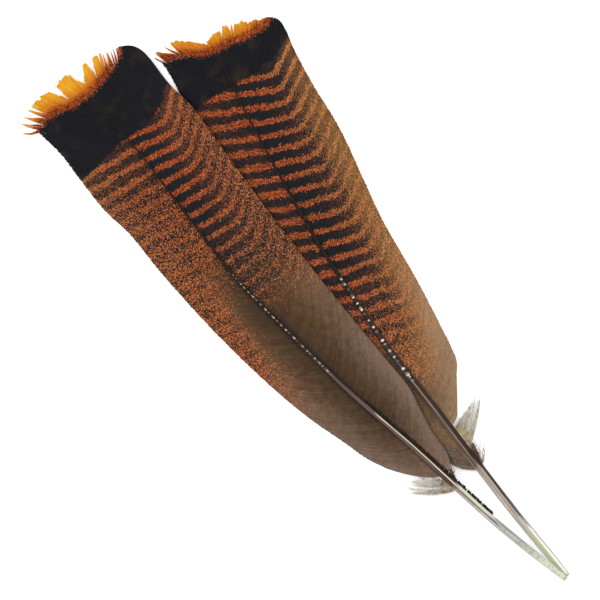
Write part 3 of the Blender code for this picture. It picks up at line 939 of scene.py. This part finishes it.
def rachis_material(feather):
    """Grey-brown horn between the vanes that turns near black towards the tip, with pale and dark lines, some
    of them painted highlight and shade, and a row of painted glints.
    """
    g = Graph(f"{feather.name}_shaft_horn", Roughness=0.6, Specular_IOR_Level=0.12)
    side, up, v, place = g.fields("round")
    streaks, flecks = shaft_streaks(g, place)
    ramp = g.node("ShaderNodeFloatCurve", {"Value": g.times(v, 1 / feather.shaft_line[-1][0])})
    curve = ramp.mapping.curves[0]
    for at, share in feather.shaft_tones:
        curve.points.new(at / feather.shaft_line[-1][0], share)
    curve.points[0].location = (0, 1)
    curve.points[len(curve.points) - 1].location = (1, 0)
    ramp.mapping.update()
    pale = ramp.outputs[0]
    dark = g.mix(g.step(flecks, 0.4, 0.7), linear(24, 21, 21), linear(46, 36, 32))
    brown = g.mix(g.step(streaks, 0.3, 0.7), linear(60, 48, 46), linear(112, 96, 90))
    horn = g.mix(g.step(streaks, 0.35, 0.7), linear(190, 186, 180), linear(226, 220, 206))
    colour = g.mix(g.step(pale, 0, 0.35), dark, brown)
    colour = g.mix(g.step(pale, 0.7, 0.98), colour, horn)
    colour = add_strips(g, feather, colour, side, up, v, streaks)
    # Painted glints: a row of pale spots along the top of the shaft
    glints = feather.glints
    uneven = g.noise(g.stretch(place, (0, 0, 0.22)), 1.0, 2)
    wave = g.math("SINE", g.add(g.times(v, 2 * math.pi / glints.spacing), g.times(uneven, 14)))
    off = g.add(side, 0.08)
    glint = g.math("SUBTRACT", wave, g.times(g.times(off, off), glints.narrow))
    glint = g.step(g.add(glint, g.times(g.centred(flecks), 1.6)), glints.cut - 0.1, glints.cut + 0.25)
    glint = g.times(g.times(glint, g.step(up, 0.3, 0.6)), g.band(v, glints.start, glints.end, 3))
    colour = g.mix(g.times(glint, g.step(uneven, 0.42, 0.58, 0.1, 0.9)), colour, linear(*glints.colour))
    g.surface(Base_Color=colour, Roughness=g.step(streaks, 0.3, 0.7, 0.5, 0.7))
    g.bump(g.add(streaks, g.times(flecks, 0.5)))
    return g.material


def shadow_spur_material():
    """Near-black painted shadow, with a few brown patches."""
    g = Graph("barb_stub", Roughness=0.6, Specular_IOR_Level=0.2)
    place = g.fields("place")[3]
    patchiness = g.noise(place, 1.6, 2)
    colour = g.mix(g.step(patchiness, 0.5, 0.72), linear(22, 17, 17), linear(82, 64, 52))
    g.surface(Base_Color=colour, Roughness=g.step(patchiness, 0.3, 0.7, 0.5, 0.75))
    g.bump(patchiness)
    return g.material


def down_material():
    """Soft pale plumes, browner towards their roots, and brown throughout in the lobes next to the vane."""
    g = Graph("down", Roughness=0.85, Specular_IOR_Level=0.1)
    _, _, share, place = g.fields("place")
    brown = g.fields("tone")[0]
    patches = g.noise(place, 0.5, 2)
    root = g.mix(g.step(patches, 0.35, 0.65), linear(168, 142, 108), linear(196, 180, 154))
    end = g.mix(g.step(patches, 0.3, 0.7), linear(190, 180, 162), linear(222, 218, 210))
    dark = g.mix(g.step(patches, 0.35, 0.65), linear(96, 72, 58), linear(142, 118, 98))
    pale = g.mix(g.step(share, 0.05, 0.6), root, end)
    colour = g.mix(g.step(g.add(brown, g.centred(patches)), 0.2, 0.8), pale, dark)
    g.surface(Base_Color=colour, Roughness=g.step(patches, 0.3, 0.7, 0.75, 0.95))
    return g.material


def membrane_material():
    """Papery dried pulp with fine rings."""
    g = Graph("pulp_caps", Roughness=0.7)
    rings = g.noise(g.stretch(g.coordinates(), (300, 1500, 300)), 1.0, 3)
    g.surface(Base_Color=g.mix(rings, linear(190, 178, 150), linear(238, 232, 214)))
    g.bump(rings, 0.4)
    return g.material


def pith_material():
    """Chalky foam of fine cells."""
    g = Graph("pith_foam", Roughness=0.95)
    inputs = {"Vector": g.coordinates(), "Scale": 2500.0}
    cells = g.node("ShaderNodeTexVoronoi", inputs).outputs["Distance"]
    g.surface(Base_Color=g.mix(cells, linear(246, 242, 230), linear(214, 206, 188)))
    g.bump(cells, 0.5, 0.1 * MM)
    return g.material


def floor_material():
    """White paper that glows a little, so that shadows on it stay faint."""
    g = Graph("paper_floor", Roughness=0.9, Specular_IOR_Level=0.1, Emission_Color=(1, 1, 1, 1),
              Emission_Strength=0.3)
    fibres = g.noise(g.coordinates(), 900.0, 4)
    g.surface(Base_Color=g.mix(fibres, linear(248, 248, 248), linear(255, 255, 255)))
    return g.material


# ---- Stage -----------------------------------------------------------


def add_camera(matrix):
    quill = matrix @ Matrix.Translation((FRONT.shaft_line[0][1] * MM, 0, 0))
    centre = quill.translation
    data = bpy.data.cameras.new("camera")
    data.sensor_width = SENSOR
    data.lens = SENSOR * CAMERA_HEIGHT / VIEW_WIDTH
    data.clip_end = 10 * CAMERA_HEIGHT
    camera = bpy.data.objects.new("camera", data)
    camera.location = (centre.x + QUILL_TO_CENTRE[0] * MM, centre.y + QUILL_TO_CENTRE[1] * MM, CAMERA_HEIGHT)
    camera.rotation_euler.z = math.radians(VIEW_TURN)
    bpy.context.collection.objects.link(camera)
    bpy.context.scene.camera = camera


def add_light(name, location, size, energy):
    data = bpy.data.lights.new(name, "AREA")
    data.shape, data.size, data.energy = "DISK", size, energy
    light = bpy.data.objects.new(name, data)
    light.location = location
    light.rotation_euler = Vector(location).to_track_quat("Z", "Y").to_euler()  # it shines at the origin
    bpy.context.collection.objects.link(light)


def add_stage():
    floor = bpy.data.objects.new("floor", bpy.data.meshes.new("floor"))
    corners = [(x * FLOOR_HALF, y * FLOOR_HALF, -CLEARANCE) for x, y in ((-1, -1), (1, -1), (1, 1), (-1, 1))]
    floor.data.from_pydata(corners, [], [(0, 1, 2, 3)])
    floor.data.materials.append(floor_material())
    bpy.context.collection.objects.link(floor)
    world = bpy.data.worlds.new("studio")
    world.use_nodes = True
    background = world.node_tree.nodes["Background"]
    background.inputs["Color"].default_value = (1, 1, 1, 1)
    background.inputs["Strength"].default_value = 0.86
    bpy.context.scene.world = world
    bpy.context.scene.view_settings.view_transform = "Standard"
    add_light("key", (-0.5, 0.6, 1.2), 0.7, 6)
    add_light("fill", (0.8, -0.5, 1.0), 0.9, 3)


DOWN, MEMBRANE, PITH, SHADOW_SPUR = down_material(), membrane_material(), pith_material(), shadow_spur_material()
add_camera(build_feather(FRONT))
build_feather(BACK)
add_stage()
